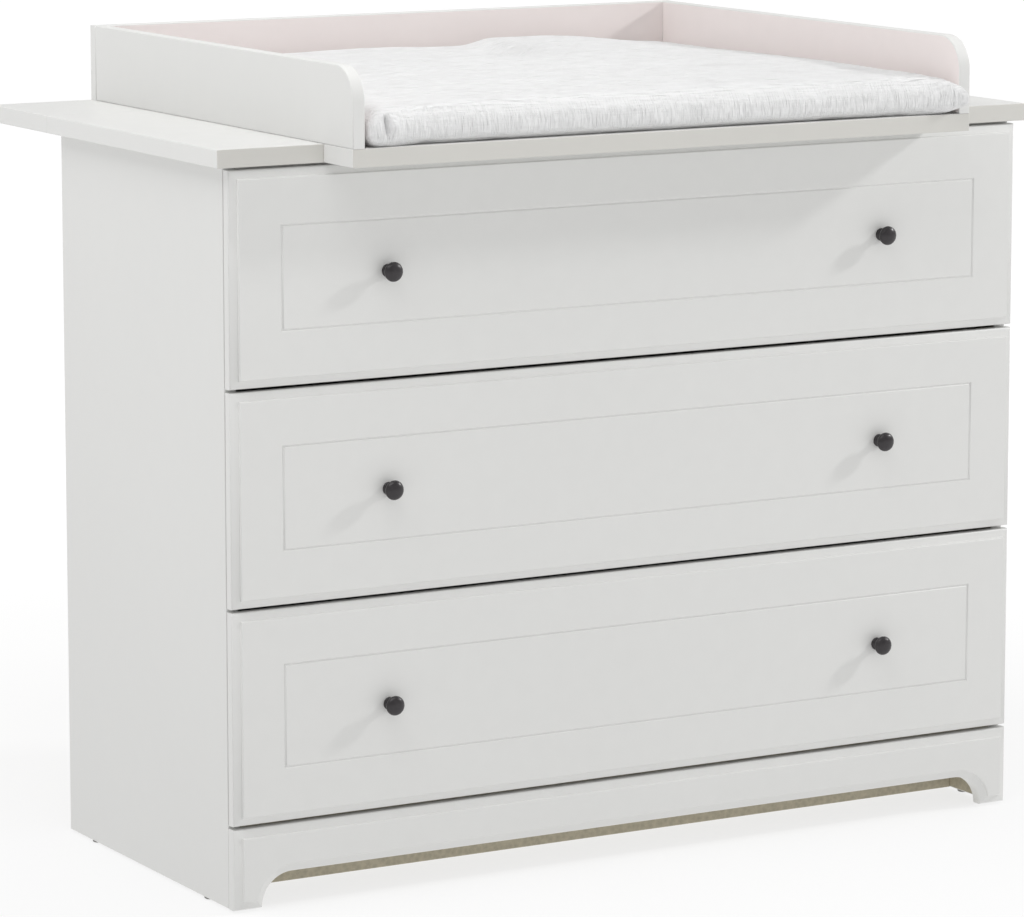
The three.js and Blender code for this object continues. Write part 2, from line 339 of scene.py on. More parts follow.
class Finish:
    """One procedural material on Object coordinates."""

    def __init__(self, name, roughness, metallic=0.0):
        self.material = bpy.data.materials.new(name)
        self.material.use_nodes = True
        self.nodes = self.material.node_tree.nodes
        self.links = self.material.node_tree.links
        self.shader = self.nodes["Principled BSDF"]
        self.shader.inputs["Roughness"].default_value = roughness
        self.shader.inputs["Metallic"].default_value = metallic
        self.place = self.nodes.new("ShaderNodeTexCoord").outputs["Object"]
        self.normal = None

    def stretched(self, scale):
        mapping = self.nodes.new("ShaderNodeMapping")
        mapping.inputs["Scale"].default_value = scale
        self.links.new(self.place, mapping.inputs["Vector"])
        return mapping.outputs["Vector"]

    def noise(self, scale, detail=3.0, stretch=(1, 1, 1), distortion=0.0):
        texture = self.nodes.new("ShaderNodeTexNoise")
        texture.inputs["Scale"].default_value = scale
        texture.inputs["Detail"].default_value = detail
        texture.inputs["Distortion"].default_value = distortion
        self.links.new(self.stretched(stretch), texture.inputs["Vector"])
        return texture.outputs["Fac"]

    def waves(self, scale, direction, distortion=0.0):
        texture = self.nodes.new("ShaderNodeTexWave")
        texture.bands_direction = direction
        texture.inputs["Scale"].default_value = scale
        texture.inputs["Distortion"].default_value = distortion
        self.links.new(self.place, texture.inputs["Vector"])
        return texture.outputs["Fac"]

    def cells(self, scale, feature="F1"):
        texture = self.nodes.new("ShaderNodeTexVoronoi")
        texture.feature = feature
        texture.inputs["Scale"].default_value = scale
        self.links.new(self.place, texture.inputs["Vector"])
        return texture.outputs["Distance"]

    def spread(self, factor, from_low, from_high, to_low, to_high):
        """Stretches a pattern's middle range over a range of values."""
        node = self.nodes.new("ShaderNodeMapRange")
        values = {"From Min": from_low, "From Max": from_high, "To Min": to_low, "To Max": to_high}
        for name, value in values.items():
            node.inputs[name].default_value = value
        self.links.new(factor, node.inputs["Value"])
        return node.outputs["Result"]

    def combine(self, first, second, operation="ADD"):
        """Two patterns added or multiplied."""
        node = self.nodes.new("ShaderNodeMath")
        node.operation = operation
        self.links.new(first, node.inputs[0])
        self.links.new(second, node.inputs[1])
        return node.outputs["Value"]

    def blend(self, factor, first, second):
        """A colour between two colours."""
        node = self.nodes.new("ShaderNodeMix")
        node.data_type = "RGBA"
        self.links.new(factor, node.inputs["Factor"])
        node.inputs["A"].default_value = (*first, 1)
        node.inputs["B"].default_value = (*second, 1)
        return node.outputs["Result"]

    def colour(self, pattern, first, second):
        """Varies the colour between two colours."""
        self.links.new(self.blend(pattern, first, second), self.shader.inputs["Base Color"])

    def shades(self, pattern, colour, darkest, lightest):
        """Varies one colour between two shares of it."""
        self.colour(pattern, tinted(colour, darkest), tinted(colour, lightest))

    def roughness(self, pattern, glossiest, dullest):
        """Varies the roughness with the middle range of a pattern."""
        spread = self.spread(pattern, 0.3, 0.7, glossiest, dullest)
        self.links.new(spread, self.shader.inputs["Roughness"])

    def bump(self, height, distance, strength=1.0):
        """Adds relief on top of the relief that is there already."""
        node = self.nodes.new("ShaderNodeBump")
        node.inputs["Distance"].default_value = distance
        node.inputs["Strength"].default_value = strength
        self.links.new(height, node.inputs["Height"])
        if self.normal:
            self.links.new(self.normal, node.inputs["Normal"])
        self.normal = node.outputs["Normal"]
        self.links.new(self.normal, self.shader.inputs["Normal"])

    def set(self, name, value):
        self.shader.inputs[name].default_value = value


def tinted(colour, share):
    return tuple(min(1.0, channel * share) for channel in colour)


def made_once(builder):
    """Keeps the material that a builder makes, so that every piece shares it."""
    kept = {}

    def give():
        if builder.__name__ not in kept:
            kept[builder.__name__] = builder(bpy.context.scene.changing_table_colours)
        return kept[builder.__name__]

    return give


def sprayed_lacquer(name, colour, roughness):
    """Satin lacquer: a faint cloudiness, a fine orange peel and specks of dust in the film."""
    finish = Finish(name, roughness)
    cloud = finish.noise(scale=2.4, detail=4)
    film = finish.noise(scale=38, detail=3)
    tint = finish.spread(finish.combine(cloud, film), 0.7, 1.3, 0, 1)
    finish.shades(tint, colour, 0.986, 1.008)
    finish.roughness(film, roughness - 0.05, roughness + 0.06)
    peel = finish.noise(scale=420, detail=2)
    finish.bump(peel, distance=0.00006, strength=0.35)
    specks = finish.spread(finish.cells(160), 0.0, 0.09, 1, 0)
    finish.bump(specks, distance=0.00004, strength=0.25)
    finish.set("Specular IOR Level", 0.42)
    return finish.material


@made_once
def white_lacquer(colours):
    return sprayed_lacquer("white lacquer", colours.lacquer, 0.37)


@made_once
def rose_lacquer(colours):
    return sprayed_lacquer("rose lacquer", colours.rose, 0.44)


# An edge band whose darker, warmer tint is painted shade.
@made_once
def edge_band_with_painted_shade(colours):
    return sprayed_lacquer("edge band with painted shade", colours.edge_band_with_painted_shade, 0.46)


@made_once
def painted_shade_board(colours):
    """Painted shade: a warm tan that stands in for the shade under and inside the chest, with a texture of
    pressed chips and fine dust.
    """
    finish = Finish("painted shade board", 0.8)
    chips = finish.cells(150)
    dust = finish.noise(scale=420, detail=4)
    shade = finish.spread(finish.combine(chips, dust), 0.5, 1.4, 0, 1)
    finish.shades(shade, colours.painted_shade_board, 0.86, 1.12)
    finish.bump(dust, distance=0.0002, strength=0.4)
    return finish.material


@made_once
def white_melamine(colours):
    """Melamine board with a fine pearl embossing."""
    finish = Finish("white melamine", 0.5)
    pearl = finish.cells(900, "SMOOTH_F1")
    grain = finish.noise(scale=60, detail=4, stretch=(1, 6, 1))
    finish.shades(grain, colours.melamine, 0.96, 1)
    finish.roughness(grain, 0.44, 0.58)
    finish.bump(pearl, distance=0.00012, strength=0.4)
    return finish.material


@made_once
def raw_hardboard(colours):
    """The screen-marked brown rear of thin hardboard, with short fibres in it."""
    finish = Finish("raw hardboard", 0.82)
    fibres = finish.noise(scale=240, detail=5, stretch=(1, 1, 0.25), distortion=0.6)
    patches = finish.noise(scale=9, detail=3)
    calm = finish.spread(patches, 0, 1, 0.35, 0.65)
    shade = finish.spread(finish.combine(fibres, calm), 0.7, 1.3, 0, 1)
    finish.shades(shade, colours.hardboard, 0.88, 1.1)
    screen = finish.combine(finish.waves(160, "X"), finish.waves(160, "Z"), "MULTIPLY")
    finish.bump(screen, distance=0.00025, strength=0.5)
    finish.bump(fibres, distance=0.0002, strength=0.5)
    return finish.material


@made_once
def dark_enamel(colours):
    """Satin near-black enamel on turned metal."""
    finish = Finish("dark enamel", 0.34, 0.25)
    wear = finish.noise(scale=180, detail=4)
    finish.shades(wear, colours.enamel, 0.8, 1.7)
    finish.roughness(wear, 0.28, 0.42)
    finish.bump(finish.noise(scale=1400, detail=2), distance=0.00003, strength=0.5)
    finish.set("Coat Weight", 0.15)
    finish.set("Coat Roughness", 0.25)
    return finish.material


@made_once
def zinc_plate(colours):
    """Bright zinc plating with drawing lines along the runner."""
    finish = Finish("zinc plate", 0.32, 1.0)
    lines = finish.noise(scale=900, detail=2, stretch=(1, 0.02, 1))
    spangle = finish.cells(70)
    finish.colour(spangle, (0.62, 0.63, 0.65), (0.50, 0.51, 0.53))
    finish.roughness(lines, 0.26, 0.42)
    finish.bump(lines, distance=0.00004, strength=0.4)
    return finish.material


@made_once
def moulded_nylon(colours):
    """Pale nylon, a little translucent, with a fine grain from the mould."""
    finish = Finish("moulded nylon", 0.45)
    grain = finish.noise(scale=500, detail=2)
    finish.colour(grain, (0.66, 0.65, 0.62), (0.74, 0.73, 0.70))
    finish.bump(grain, distance=0.00004, strength=0.5)
    finish.set("Subsurface Weight", 0.05)
    return finish.material


@made_once
def glide_plastic(colours):
    """Dark grey plastic with a matt moulded grain."""
    finish = Finish("glide plastic", 0.5)
    grain = finish.noise(scale=700, detail=2)
    finish.colour(grain, (0.16, 0.155, 0.15), (0.24, 0.235, 0.225))
    finish.bump(grain, distance=0.00006, strength=0.5)
    return finish.material


@made_once
def crinkled_muslin(colours):
    """Double gauze: an open weave. Its crinkles run along the top and up the sides."""
    finish = Finish("crinkled muslin", 0.92)
    side = finish.nodes.new("ShaderNodeAttribute")
    side.attribute_name = "side_share"
    flat_crinkle = finish.noise(scale=1, detail=2, stretch=(26, 300, 200), distortion=0.15)
    side_crinkle = finish.noise(scale=1, detail=2, stretch=(380, 60, 34), distortion=0.1)
    either = finish.nodes.new("ShaderNodeMix")
    finish.links.new(side.outputs["Fac"], either.inputs["Factor"])
    finish.links.new(flat_crinkle, either.inputs["A"])
    finish.links.new(side_crinkle, either.inputs["B"])
    crinkle = either.outputs["Result"]
    weave = finish.combine(finish.waves(420, "X", 1.2), finish.waves(420, "Y", 1.2))
    slub = finish.noise(scale=1, detail=4, stretch=(20, 600, 600))
    # The colour follows the crinkles. It is darker in their troughs as painted shade and lighter on their
    # crests as painted light. The slub adds the yarn's own tone.
    shade = finish.spread(finish.combine(crinkle, slub), 0.7, 1.3, 0, 1)
    finish.shades(shade, colours.muslin, 0.945, 1.02)
    finish.bump(crinkle, distance=0.005, strength=0.9)
    finish.bump(slub, distance=0.0008, strength=0.5)
    finish.bump(weave, distance=0.0004, strength=0.5)
    finish.set("Sheen Weight", 0.25)
    finish.set("Sheen Roughness", 0.4)
    finish.set("Specular IOR Level", 0.15)
    return finish.material


# ---- Boards -------------------------------------------------------------------------------------


def eased_board(node, radius):
    low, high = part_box(node)
    piece = block(node + "_board", low, high)
    ease(piece, radius)
    smooth(piece)
    return piece


class CHANGINGTABLE_OT_outer_boards(bpy.types.Operator):
    """Make the lacquered boards of the chest and its top, with eased edges"""

    bl_idname = "changing_table.outer_boards"
    bl_label = "Outer boards"

    def execute(self, context):
        radius = context.scene.changing_table_boards.edge_radius
        for node in LACQUERED_BOARDS:
            piece = eased_board(node, radius)
            deliver(piece, "cabinet", [white_lacquer(), painted_shade_board()], [node])
            # The inner faces of the side panels get the tan painted shade.
            if node.startswith("side_panel"):
                second_material(piece, RIGHT if node.endswith("left") else -RIGHT)
        for node in BANDED_BOARDS:
            piece = eased_board(node, radius)
            deliver(piece, "cabinet", [white_lacquer(), edge_band_with_painted_shade()], [node])
            # The front faces of the top plate and the front extension get the edge band, whose darker,
            # warmer tint is painted shade.
            second_material(piece, FRONT, 0.5)
        return {"FINISHED"}


class CHANGINGTABLE_OT_inner_boards(bpy.types.Operator):
    """Make the rails, the bottom panel and the drawer boxes"""

    bl_idname = "changing_table.inner_boards"
    bl_label = "Inner boards"

    def execute(self, context):
        radius = context.scene.changing_table_boards.inner_radius
        nodes = list(INNER_BOARDS)
        nodes += [f"drawer_{level}_{part}" for level in LEVELS for part in DRAWER_BOARDS]
        for node in nodes:
            piece = eased_board(node, radius)
            deliver(piece, body_of_node(node), [white_melamine()], [node])
        # The plinth and the bottom panel get the tan painted shade.
        for node, slot in zip(PAINTED_SHADE_BOARDS, ("white_lacquer", "white_board")):
            piece = eased_board(node, radius)
            deliver(piece, "cabinet", [painted_shade_board()], [node])
        return {"FINISHED"}


class CHANGINGTABLE_OT_back_panel(bpy.types.Operator):
    """Make the hardboard back with its fold line, and the pins that hold it"""

    bl_idname = "changing_table.back_panel"
    bl_label = "Back panel"

    pin_step: length_setting("Pin step", "Distance between two pins", 0.12, 0.05)

    def execute(self, context):
        low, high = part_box("back_panel")
        piece = block("back_panel_board", low, high)
        edit(piece)
        middle = (low.x + high.x) / 2
        fold_half, fold_rim, fold_depth = 0.001, 0.0002, 0.0008
        for side in (-fold_half, fold_half):
            bpy.ops.mesh.select_all(action="SELECT")
            bpy.ops.mesh.bisect(plane_co=(middle + side, 0, 0), plane_no=(1, 0, 0))
        rear = Vector((0, 1, 0))
        near_fold = fold_half * 1.1
        choose(piece, "FACE", lambda face: facing(rear)(face)
               and abs(face.calc_center_median().x - middle) < near_fold)
        bpy.ops.mesh.inset(thickness=fold_rim, depth=-fold_depth)
        stop_editing()
        ease(piece, 0.0005, segments=2)
        smooth(piece)
        deliver(piece, "cabinet", [raw_hardboard()], ["back_panel"])
        self.pins(low, high)
        return {"FINISHED"}

    def pins(self, low, high):
        """Domed pin heads along the edges of the panel, joined as one piece."""
        inset = 0.008
        across = max(2, round((high.x - low.x) / self.pin_step))
        upward = max(2, round((high.z - low.z) / self.pin_step))
        places = []
        for step in range(across + 1):
            x = low.x + inset + (high.x - low.x - 2 * inset) * step / across
            places += [(x, low.z + inset), (x, high.z - inset)]
        for step in range(1, upward):
            z = low.z + inset + (high.z - low.z - 2 * inset) * step / upward
            places += [(low.x + inset, z), (high.x - inset, z)]
        dome = [(0.0024, 0), (0.0024, 0.0004), (0.0019, 0.0009), (0.0009, 0.0012)]
        start_x, start_z = places[0]
        heads = [turned("back_panel_pins", Vector((start_x, high.y, start_z)), -FRONT, dome, 12)]
        for x, z in places[1:]:
            heads.append(repeat(heads[0], "pin", Vector((x - start_x, 0, z - start_z))))
        pins = join(heads)
        smooth(pins)
        deliver(pins, "cabinet", [zinc_plate()])


# ---- Moulded fronts -----------------------------------------------------------------------------


def inset_steps(steps):
    """Insets the chosen faces again and again. Each step is (how far inwards, how far outwards)."""
    for inwards, outwards in steps:
        bpy.ops.mesh.inset(thickness=inwards, depth=outwards, use_even_offset=True)


# The section of the edge mould, as shares of its width and of its depth, from the side of the board:
# a small round, a sloping band, a crisp step up and a softened rim.
MOULD_SECTION = (
    (0.02, 0.12),
    (0.07, 0.23),
    (0.15, 0.30),
    (0.25, 0.34),
    (0.78, 0.64),
    (0.83, 0.69),
    (0.86, 0.88),
    (0.90, 0.97),
    (0.95, 1.00),
    (1.00, 1.00),
)


def edge_mould_steps(moulding):
    """Turns the section of the edge mould into insets."""
    width = moulding.width + moulding.quirk_width
    depth = moulding.depth + moulding.quirk
    steps = []
    across, rise = 0.0, 0.0
    for next_across, next_rise in MOULD_SECTION:
        steps.append(((next_across - across) * width, (next_rise - rise) * depth))
        across, rise = next_across, next_rise
    return steps


# One side of the rounded groove, from its rim to its floor: each step's shares of the groove's half
# width and of its depth.
GROOVE_SECTION = ((0.16, 0.12), (0.24, 0.38), (0.34, 0.36), (0.26, 0.14))


def groove_steps(moulding, start):
    """A flat margin, then a rounded groove, from a distance that is inset already."""
    half = moulding.groove_width / 2
    steps = [(moulding.groove_inset - half - start, 0.0)]
    down = [(half * share, -moulding.groove_depth * fall) for share, fall in GROOVE_SECTION]
    up = [(inwards, -outwards) for inwards, outwards in reversed(down)]
    return steps + down + up


def mould_face(piece, moulding, with_groove):
    edit(piece)
    choose(piece, "FACE", facing(FRONT))
    inset_steps(edge_mould_steps(moulding))
    if with_groove:
        inset_steps(groove_steps(moulding, moulding.width + moulding.quirk_width))
    stop_editing()


def slab_before_moulding(name, node, moulding):
    """The board behind the mould: the face stands back by the mould's depth and the quirk."""
    low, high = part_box(node)
    back = Vector((low.x, low.y + moulding.depth + moulding.quirk, low.z))
    return block(name, back, high)


class CHANGINGTABLE_OT_drawer_fronts(bpy.types.Operator):
    """Make the three drawer fronts with a moulded edge and a routed groove"""

    bl_idname = "changing_table.drawer_fronts"
    bl_label = "Drawer fronts"

    def execute(self, context):
        moulding = context.scene.changing_table_moulding
        first_node = f"drawer_{LEVELS[0]}_front"
        first = slab_before_moulding(f"moulded_front_{LEVELS[0]}", first_node, moulding)
        mould_face(first, moulding, with_groove=True)
        rear_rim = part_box(first_node)[1].y
        ease(first, 0.001, lambda edge: sharp_edge(edge) and middle_of(edge).y > rear_rim - SAME_PLACE)
        smooth(first, 70)
        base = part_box(first_node)[0].z
        fronts = [(LEVELS[0], first)]
        for level in LEVELS[1:]:
            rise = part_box(f"drawer_{level}_front")[0].z - base
            fronts.append((level, repeat(first, f"moulded_front_{level}", UP * rise)))
        for level, piece in fronts:
            node = f"drawer_{level}_front"
            deliver(piece, f"drawer_{level}", [white_lacquer()], [node])
        return {"FINISHED"}


class CHANGINGTABLE_OT_apron(bpy.types.Operator):
    """Make the apron with its bracket feet and the mould that runs round the arch"""

    bl_idname = "changing_table.apron"
    bl_label = "Apron"

    foot_width: length_setting("Foot width", "Width of a bracket foot at the floor", 0.038)
    foot_radius: length_setting("Foot radius", "Radius of the cove between a foot and the arch", 0.04)

    def execute(self, context):
        moulding = context.scene.changing_table_moulding
        low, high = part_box("apron")
        piece = slab_before_moulding("moulded_apron", "apron", moulding)
        mould_face(piece, moulding, with_groove=False)
        rear = high.y
        ease(piece, 0.0018, lambda edge: sharp_edge(edge) and middle_of(edge).y > rear - SAME_PLACE)
        cutter = self.flared_arch(moulding, low, high)
        apply_modifier(piece, "BOOLEAN", object=cutter, operation="DIFFERENCE", solver="EXACT")
        bpy.data.objects.remove(cutter)
        edit(piece)
        bpy.ops.mesh.select_all(action="SELECT")
        bpy.ops.mesh.remove_doubles(threshold=0.00002)
        stop_editing()
        smooth(piece, 40)
        deliver(piece, "cabinet", [white_lacquer()], ["apron"])
        return {"FINISHED"}

    def flared_arch(self, moulding, low, high):
        """The room under the apron, which widens towards the front by the section of the mould."""
        spill = 0.03
        steps = list(reversed(edge_mould_steps(moulding)[:-1]))
        grow = sum(inwards for inwards, _ in steps)
        top = low.z + self.foot_radius + grow
        cutter = block(
            "arch_cutter",
            Vector((low.x + self.foot_width - grow, low.y - spill, low.z - 2 * spill)),
            Vector((high.x - self.foot_width + grow, low.y, top)),
        )
        ease(cutter, self.foot_radius + grow,
             lambda edge: middle_of(edge).z > top - SAME_PLACE
             and abs(edge.verts[0].co.x - edge.verts[1].co.x) < SAME_PLACE, segments=16)
        edit(cutter)
        choose(cutter, "FACE", facing(-FRONT))
        inset_steps(steps)
        bpy.ops.mesh.extrude_region_move(
            TRANSFORM_OT_translate={"value": Vector((0, high.y - low.y + spill, 0))}
        )
        stop_editing()
        return cutter


# ---- Turned pieces ------------------------------------------------------------------------------


def turned(name, base, axis, rings, segments=40):
    """A piece turned about an axis from its base. Each ring is (radius, distance from the base)."""
    deselect_everything()
    turn = UP.rotation_difference(axis).to_euler()
    bpy.ops.mesh.primitive_circle_add(
        vertices=segments, radius=rings[0][0], fill_type="NGON", location=base, rotation=turn
    )
    piece = named(bpy.context.object, name)
    bpy.ops.object.transform_apply(location=True, rotation=True, scale=True)
    bpy.ops.object.mode_set(mode="EDIT")
    bpy.ops.mesh.select_all(action="SELECT")
    for (radius, height), (next_radius, next_height) in zip(rings, rings[1:]):
        step = axis * (next_height - height)
        share = next_radius / radius
        bpy.ops.mesh.extrude_region_move(TRANSFORM_OT_translate={"value": step})
        centre = base + axis * next_height
        bpy.ops.transform.resize(value=(share, share, share), center_override=centre)
    bpy.ops.mesh.select_all(action="SELECT")
    bpy.ops.mesh.normals_make_consistent(inside=False)
    stop_editing()
    return piece


def knob_rings(length, head_radius, collar_radius):
    """A collar on the front, a waisted neck and a domed mushroom head."""
    rings = [
        (collar_radius - 0.0004, 0.0),
        (collar_radius, 0.0004),
        (collar_radius, 0.0022),
        (collar_radius - 0.0006, 0.0030),
        (collar_radius - 0.0022, 0.0038),
        (collar_radius - 0.0033, 0.0055),
        (collar_radius - 0.0034, 0.0080),
        (collar_radius - 0.0022, 0.0102),
        (collar_radius + 0.0002, 0.0116),
        (head_radius - 0.0014, 0.0128),
        (head_radius - 0.0003, 0.0139),
        (head_radius, 0.0152),
    ]
    rim = rings[-1][1]
    dome_steps = 9
    for step in range(1, dome_steps + 1):
        angle = math.pi / 2 * step / dome_steps
        radius = max(0.0004, head_radius * math.cos(angle) ** 0.85)
        rings.append((radius, rim + (length - rim) * math.sin(angle)))
    return rings


class CHANGINGTABLE_OT_knobs(bpy.types.Operator):
    """Make the six turned knobs and the screws that hold them from inside the drawers"""

    bl_idname = "changing_table.knobs"
    bl_label = "Knobs"

    collar_radius: length_setting("Collar radius", "Radius of the collar on the front", 0.008)

    def execute(self, context):
        first_node = f"drawer_{LEVELS[0]}_knob_{SIDES[0]}"
        low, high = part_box(first_node)
        foot = Vector(((low.x + high.x) / 2, high.y, (low.z + high.z) / 2))
        rings = knob_rings(high.y - low.y, (high.x - low.x) / 2, self.collar_radius)
        knob = turned(f"knob_{LEVELS[0]}_{SIDES[0]}", foot, FRONT, rings, 48)
        smooth(knob, 60)
        inner_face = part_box(f"drawer_{LEVELS[0]}_front")[1].y
        screw = self.screw(Vector((foot.x, inner_face, foot.z)))
        for level in LEVELS:
            for side in SIDES:
                node = f"drawer_{level}_knob_{side}"
                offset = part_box(node)[0] - low
                same = level == LEVELS[0] and side == SIDES[0]
                piece = knob if same else repeat(knob, f"knob_{level}_{side}", offset)
                holder = screw if same else repeat(screw, f"knob_screw_{level}_{side}", offset)
                deliver(piece, f"drawer_{level}", [dark_enamel()], [node])
                deliver(holder, f"drawer_{level}", [zinc_plate()])
        return {"FINISHED"}

    def screw(self, place):
        """A pan head with a cross recess, on the inner face of a front."""
        rings = [(0.0045, 0), (0.0046, 0.0006), (0.0042, 0.0016), (0.0032, 0.0023), (0.0018, 0.0026)]
        name = f"knob_screw_{LEVELS[0]}_{SIDES[0]}"
        head = turned(name, place, -FRONT, rings, 32)
        reach, width, depth = 0.0022, 0.00045, 0.001
        centre = place - FRONT * rings[-1][1]
        for half in (Vector((reach, depth, width)), Vector((width, depth, reach))):
            slot = block("screw_slot", centre - half, centre + half)
            apply_modifier(head, "BOOLEAN", object=slot, operation="DIFFERENCE", solver="EXACT")
            bpy.data.objects.remove(slot)
        smooth(head, 40)
        return head


class CHANGINGTABLE_OT_glides(bpy.types.Operator):
    """Make the four round glides under the side panels"""

    bl_idname = "changing_table.glides"
    bl_label = "Glides"

    def execute(self, context):
        for where in ("front", "rear"):
            for side in SIDES:
                node = f"glide_{where}_{side}"
                low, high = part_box(node)
                radius = (high.x - low.x) / 2
                height = high.z - low.z
                top = Vector(((low.x + high.x) / 2, (low.y + high.y) / 2, high.z))
                rings = [(radius, 0), (radius, height * 0.4), (radius * 0.95, height * 0.75),
                         (radius * 0.8, height), (radius * 0.2, height)]
                piece = turned(f"round_{node}", top, -UP, rings)
                smooth(piece, 40)
                deliver(piece, "cabinet", [glide_plastic()], [node])
        return {"FINISHED"}


# ---- Runners ------------------------------------------------------------------------------------

RUNNER_WEB = 0.0016  # thickness of the pressed steel


class CHANGINGTABLE_OT_runners(bpy.types.Operator):
    """Finish the pressed runners and add their rollers and screws"""

    bl_idname = "changing_table.runners"
    bl_label = "Runners"

    roller_radius: length_setting("Roller radius", "Radius of a nylon roller", 0.0115)

    def execute(self, context):
        for level in LEVELS:
            for side in SIDES:
                outwards = -RIGHT if side == "left" else RIGHT
                self.finish(f"cabinet_runner_{level}_{side}")
                self.finish(f"drawer_{level}_runner_{side}")
                self.roller(level, side, outwards)
                self.screws(level, side, outwards)
        return {"FINISHED"}

    def finish(self, node):
        shape = frame["nodes"][node]
        shape.data.materials.clear()
        shape.data.materials.append(zinc_plate())

    def web_face(self, level, side, outwards, above):
        """A place on the front end of the web, this far above its inner face, and the runner's box."""
        low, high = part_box(f"drawer_{level}_runner_{side}")
        inner = high.x if side == "left" else low.x
        return Vector((inner + outwards.x * above, low.y, (low.z + high.z) / 2)), low, high

    def roller(self, level, side, outwards):
        """The nylon roller at the rear of the drawer's runner."""
        from_end, clearance, round_off, recess = 0.02, 0.0004, 0.0007, 0.0008
        place, low, high = self.web_face(level, side, outwards, RUNNER_WEB)
        place.y = high.y - from_end
        width = (high.x - low.x) - RUNNER_WEB - clearance
        r = self.roller_radius
        rings = [(r * 0.9, 0), (r, round_off), (r, width - round_off), (r * 0.93, width),
                 (r * 0.35, width), (r * 0.3, width - recess), (r * 0.05, width - recess)]
        piece = turned(f"roller_{level}_{side}", place, outwards, rings, 32)
        smooth(piece, 40)
        deliver(piece, f"drawer_{level}", [moulded_nylon()])

    def screws(self, level, side, outwards):
        """Screw heads in the web of the drawer's runner."""
        sunk = 0.00008
        start, _, _ = self.web_face(level, side, outwards, RUNNER_WEB - sunk)
        rings = [(0.0036, 0), (0.0034, 0.0009), (0.0022, 0.0015), (0.0010, 0.0015), (0.0007, 0.0008)]
        heads = []
        for from_front in (0.035, 0.16, 0.29):
            place = start - FRONT * from_front
            heads.append(turned(f"runner_screws_{level}_{side}", place, outwards, rings, 20))
        screws = join(heads)
        smooth(screws, 40)
        deliver(screws, f"drawer_{level}", [zinc_plate()])


# ---- Changing tray ------------------------------------------------------------------------------

INNER_DIRECTION = {"tray_wall_left": RIGHT, "tray_wall_right": -RIGHT, "tray_wall_back": FRONT}


class CHANGINGTABLE_OT_tray_walls(bpy.types.Operator):
    """Make the three tray walls, white outside and rose inside, with rounded front corners"""

    bl_idname = "changing_table.tray_walls"
    bl_label = "Tray walls"

    def execute(self, context):
        tray = context.scene.changing_table_tray
        for node in TRAY_WALLS:
            low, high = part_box(node)
            piece = block(node + "_panel", low, high)
            if node != "tray_wall_back":
                front, top = low.y, high.z
                ease(piece, tray.corner_radius,
                     lambda edge: abs(middle_of(edge).y - front) < SAME_PLACE
                     and abs(middle_of(edge).z - top) < SAME_PLACE, segments=20)
            inwards = INNER_DIRECTION[node]
            ease(piece, tray.rim_radius, lambda edge: self.is_rim(edge, inwards), segments=4)
            smooth(piece, 50)
            deliver(piece, "cabinet", [white_lacquer(), rose_lacquer()], [node])
            second_material(piece, inwards)
        return {"FINISHED"}

    def is_rim(self, edge, inwards):
        """An edge between a broad face and the rim."""
        flat = [abs(face.normal.dot(inwards)) > 0.9 for face in edge.link_faces]
        return len(flat) == 2 and flat[0] != flat[1]


# ---- Pad ----------------------------------------------------------------------------------------


def vectors(mesh, kind="co"):
    """The places of the points of a mesh, or their normals."""
    flat = np.zeros(len(mesh.vertices) * 3)
    mesh.vertices.foreach_get(kind, flat)
    return flat.reshape(-1, 3)


def move_points(mesh, points):
    mesh.vertices.foreach_set("co", points.astype(np.float32).ravel())
    mesh.update()


def rolling_field(points, waves, seed, apart=11.9):
    """Soft hills and dales. waves holds how many of them fit in a metre along each axis."""
    places = points * np.array(waves) + seed * apart
    return np.array([noise.noise(place) for place in places])


def crease_field(points, waves, seed):
    """Soft ridges, which reach 1 along their tops."""
    return 1 - 2.6 * np.abs(rolling_field(points, waves, seed, apart=17.3))


def eased(share):
    """0 below nought, 1 above one, and a smooth climb between."""
    share = share.clip(0, 1)
    return share * share * (3 - 2 * share)


def bell(distance, width):
    return np.exp(-((distance / width) ** 2))


